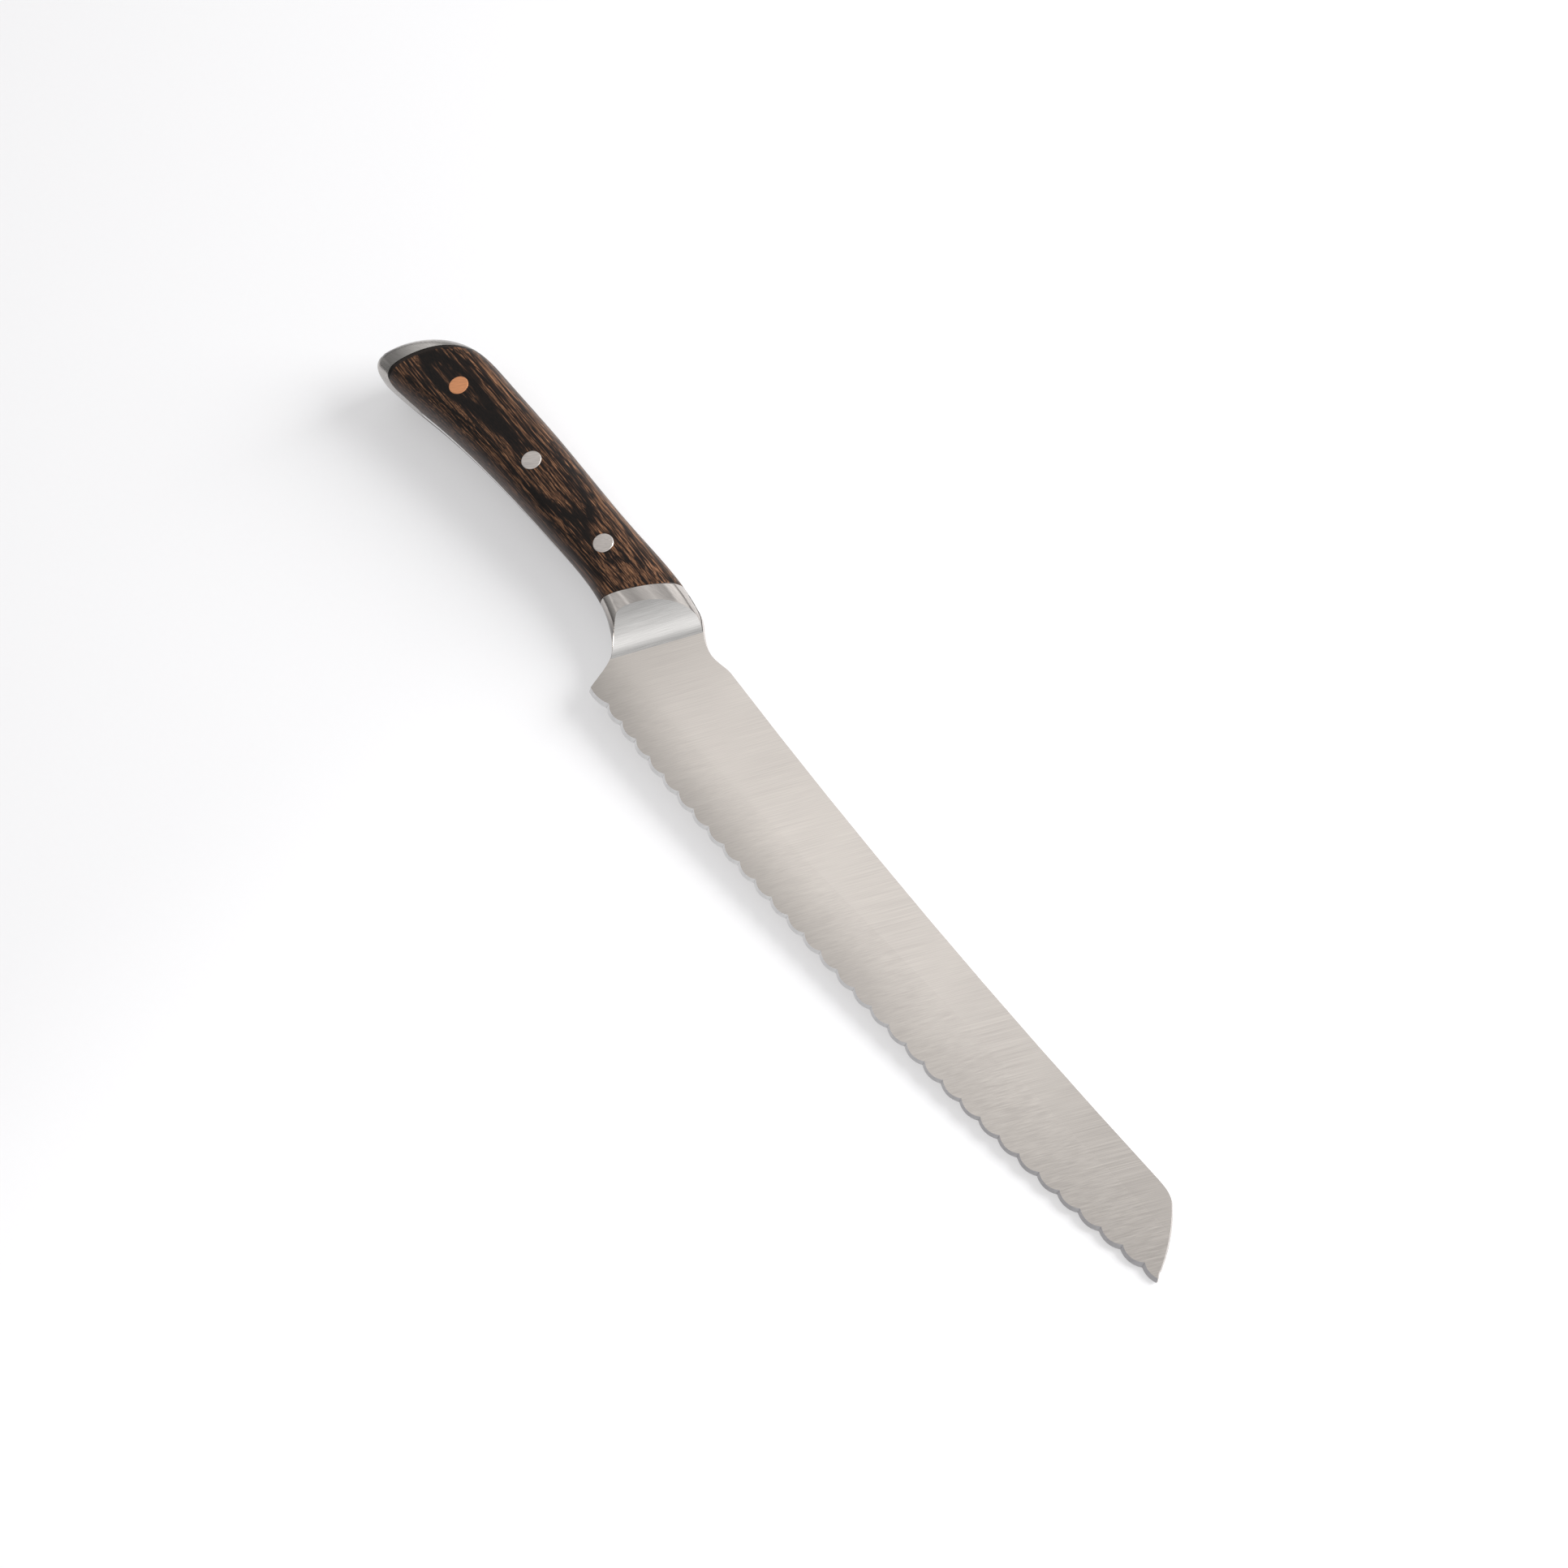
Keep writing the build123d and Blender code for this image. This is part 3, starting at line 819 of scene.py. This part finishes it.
KEY_PLACE = (0.62, 1.1, 0.6)
KEY_TARGET = (0.03, 0.01, 0)
KEY_SIZE = (1.0, 0.8)
KEY_POWER = 51

# Bright patches that the steel reflects: direction, cosines at their rim and core, and brightness
STUDIO_LEVEL = 0.85
STUDIO_PATCHES = [
    ((0.05, -0.12, 0.99), 0.97, 0.99, 0.3),
    ((-0.38, 0.84, 0.38), 0.962, 0.982, 0.9),
    ((-0.62, -0.5, 0.6), 0.994, 0.998, 0.6),
]

CAMERA_PLACE = (0.4463, -0.04873, 0.74433)
CAMERA_RIGHT = (0.56897, 0.78859, -0.23325)
CAMERA_UP = (-0.68063, 0.61076, 0.40462)
CAMERA_BACK = (0.46154, -0.07146, 0.88424)
CAMERA_LENS = 69.02
CAMERA_SENSOR = 36.0
CAMERA_REACH = 20.0


def floor():
    """A pale floor that the knife lies on, with a painted glow that lightens the shadows, a little more
    towards the blade.
    """
    mesh = bpy.data.meshes.new("floor")
    bm = bmesh.new()
    bmesh.ops.create_grid(bm, x_segments=8, y_segments=8, size=FLOOR_SIZE)
    bm.to_mesh(mesh)
    bm.free()
    obj = add_object("floor", mesh)
    slope = (FLOOR_TIP[1] - FLOOR_LOW[1]) / (FLOOR_TIP[0] - FLOOR_LOW[0])
    obj.rotation_euler = (0, -math.atan(slope), 0)
    obj.location = (FLOOR_LOW[0] * MM, 0, FLOOR_LOW[1] * MM)
    mat, n = material("floor_white")
    speck = n.noise(n.position(), 0.5, 2.0)
    # Painted light: the glow lifts the floor's shadows, less beside the handle than under the blade
    glow = n.span(n.separate(n.position())[0], 20.0, 140.0, 0.4, 0.49)
    n.surface(
        Base_Color=n.mix(speck, *FLOOR_GREYS), Roughness=0.7, Specular_IOR_Level=0.2,
        Emission_Color=FLOOR_PAINTED_GLOW, Emission_Strength=glow,
    )
    obj.data.materials.append(mat)


def key_light():
    """One soft light beyond spine and tip, which throws the shadow towards the edge and the butt."""
    data = bpy.data.lights.new("key", "AREA")
    data.shape = "RECTANGLE"
    data.size, data.size_y = KEY_SIZE
    data.energy = KEY_POWER
    obj = add_object("key", data)
    obj.location = KEY_PLACE
    obj.rotation_mode = "QUATERNION"
    obj.rotation_quaternion = (Vector(KEY_TARGET) - Vector(KEY_PLACE)).to_track_quat("-Z", "Y")


def studio():
    """A white room, darker low down and on the edge's side, with one dim and three bright patches."""
    room = bpy.data.worlds.new("studio")
    room.use_nodes = True
    room.node_tree.nodes.clear()
    n = Nodes(room.node_tree)
    direction = n.add("ShaderNodeTexCoord").outputs["Generated"]
    _, y, z = n.separate(direction)

    def patch_of_light(towards, rim, core, outside, inside):
        inputs = {0: direction, 1: Vector(towards).normalized()}
        dot = n.add("ShaderNodeVectorMath", {"operation": "DOT_PRODUCT"}, inputs).outputs["Value"]
        return n.span(dot, rim, core, outside, inside)

    overhead = patch_of_light((-0.2, 0.0, 0.98), 0.972, 0.998, 1.0, 0.55)
    tone = n.times(overhead, n.span(y, -0.85, -0.2, 0.4, 1.0), n.span(z, 0.05, 0.4, 0.5, 1.0))
    for towards, rim, core, brightness in STUDIO_PATCHES:
        tone = n.total(tone, patch_of_light(towards, rim, core, 0.0, brightness))
    inputs = {"Color": (1.0, 1.0, 1.0, 1.0), "Strength": n.times(tone, STUDIO_LEVEL)}
    back = n.add("ShaderNodeBackground", None, inputs).outputs[0]
    n.add("ShaderNodeOutputWorld", None, {0: back})
    bpy.context.scene.world = room


def camera():
    """Looks down on the right face from beyond the tip, which comes out at the lower right."""
    data = bpy.data.cameras.new("camera")
    data.lens = CAMERA_LENS
    data.sensor_width = CAMERA_SENSOR
    data.clip_end = CAMERA_REACH
    obj = add_object("camera", data)
    turn = Matrix((CAMERA_RIGHT, CAMERA_UP, CAMERA_BACK)).transposed().to_4x4()
    obj.matrix_world = Matrix.Translation(CAMERA_PLACE) @ turn
    bpy.context.scene.camera = obj


floor()
studio()
key_light()
camera()
bpy.context.scene.view_settings.view_transform = "Standard"
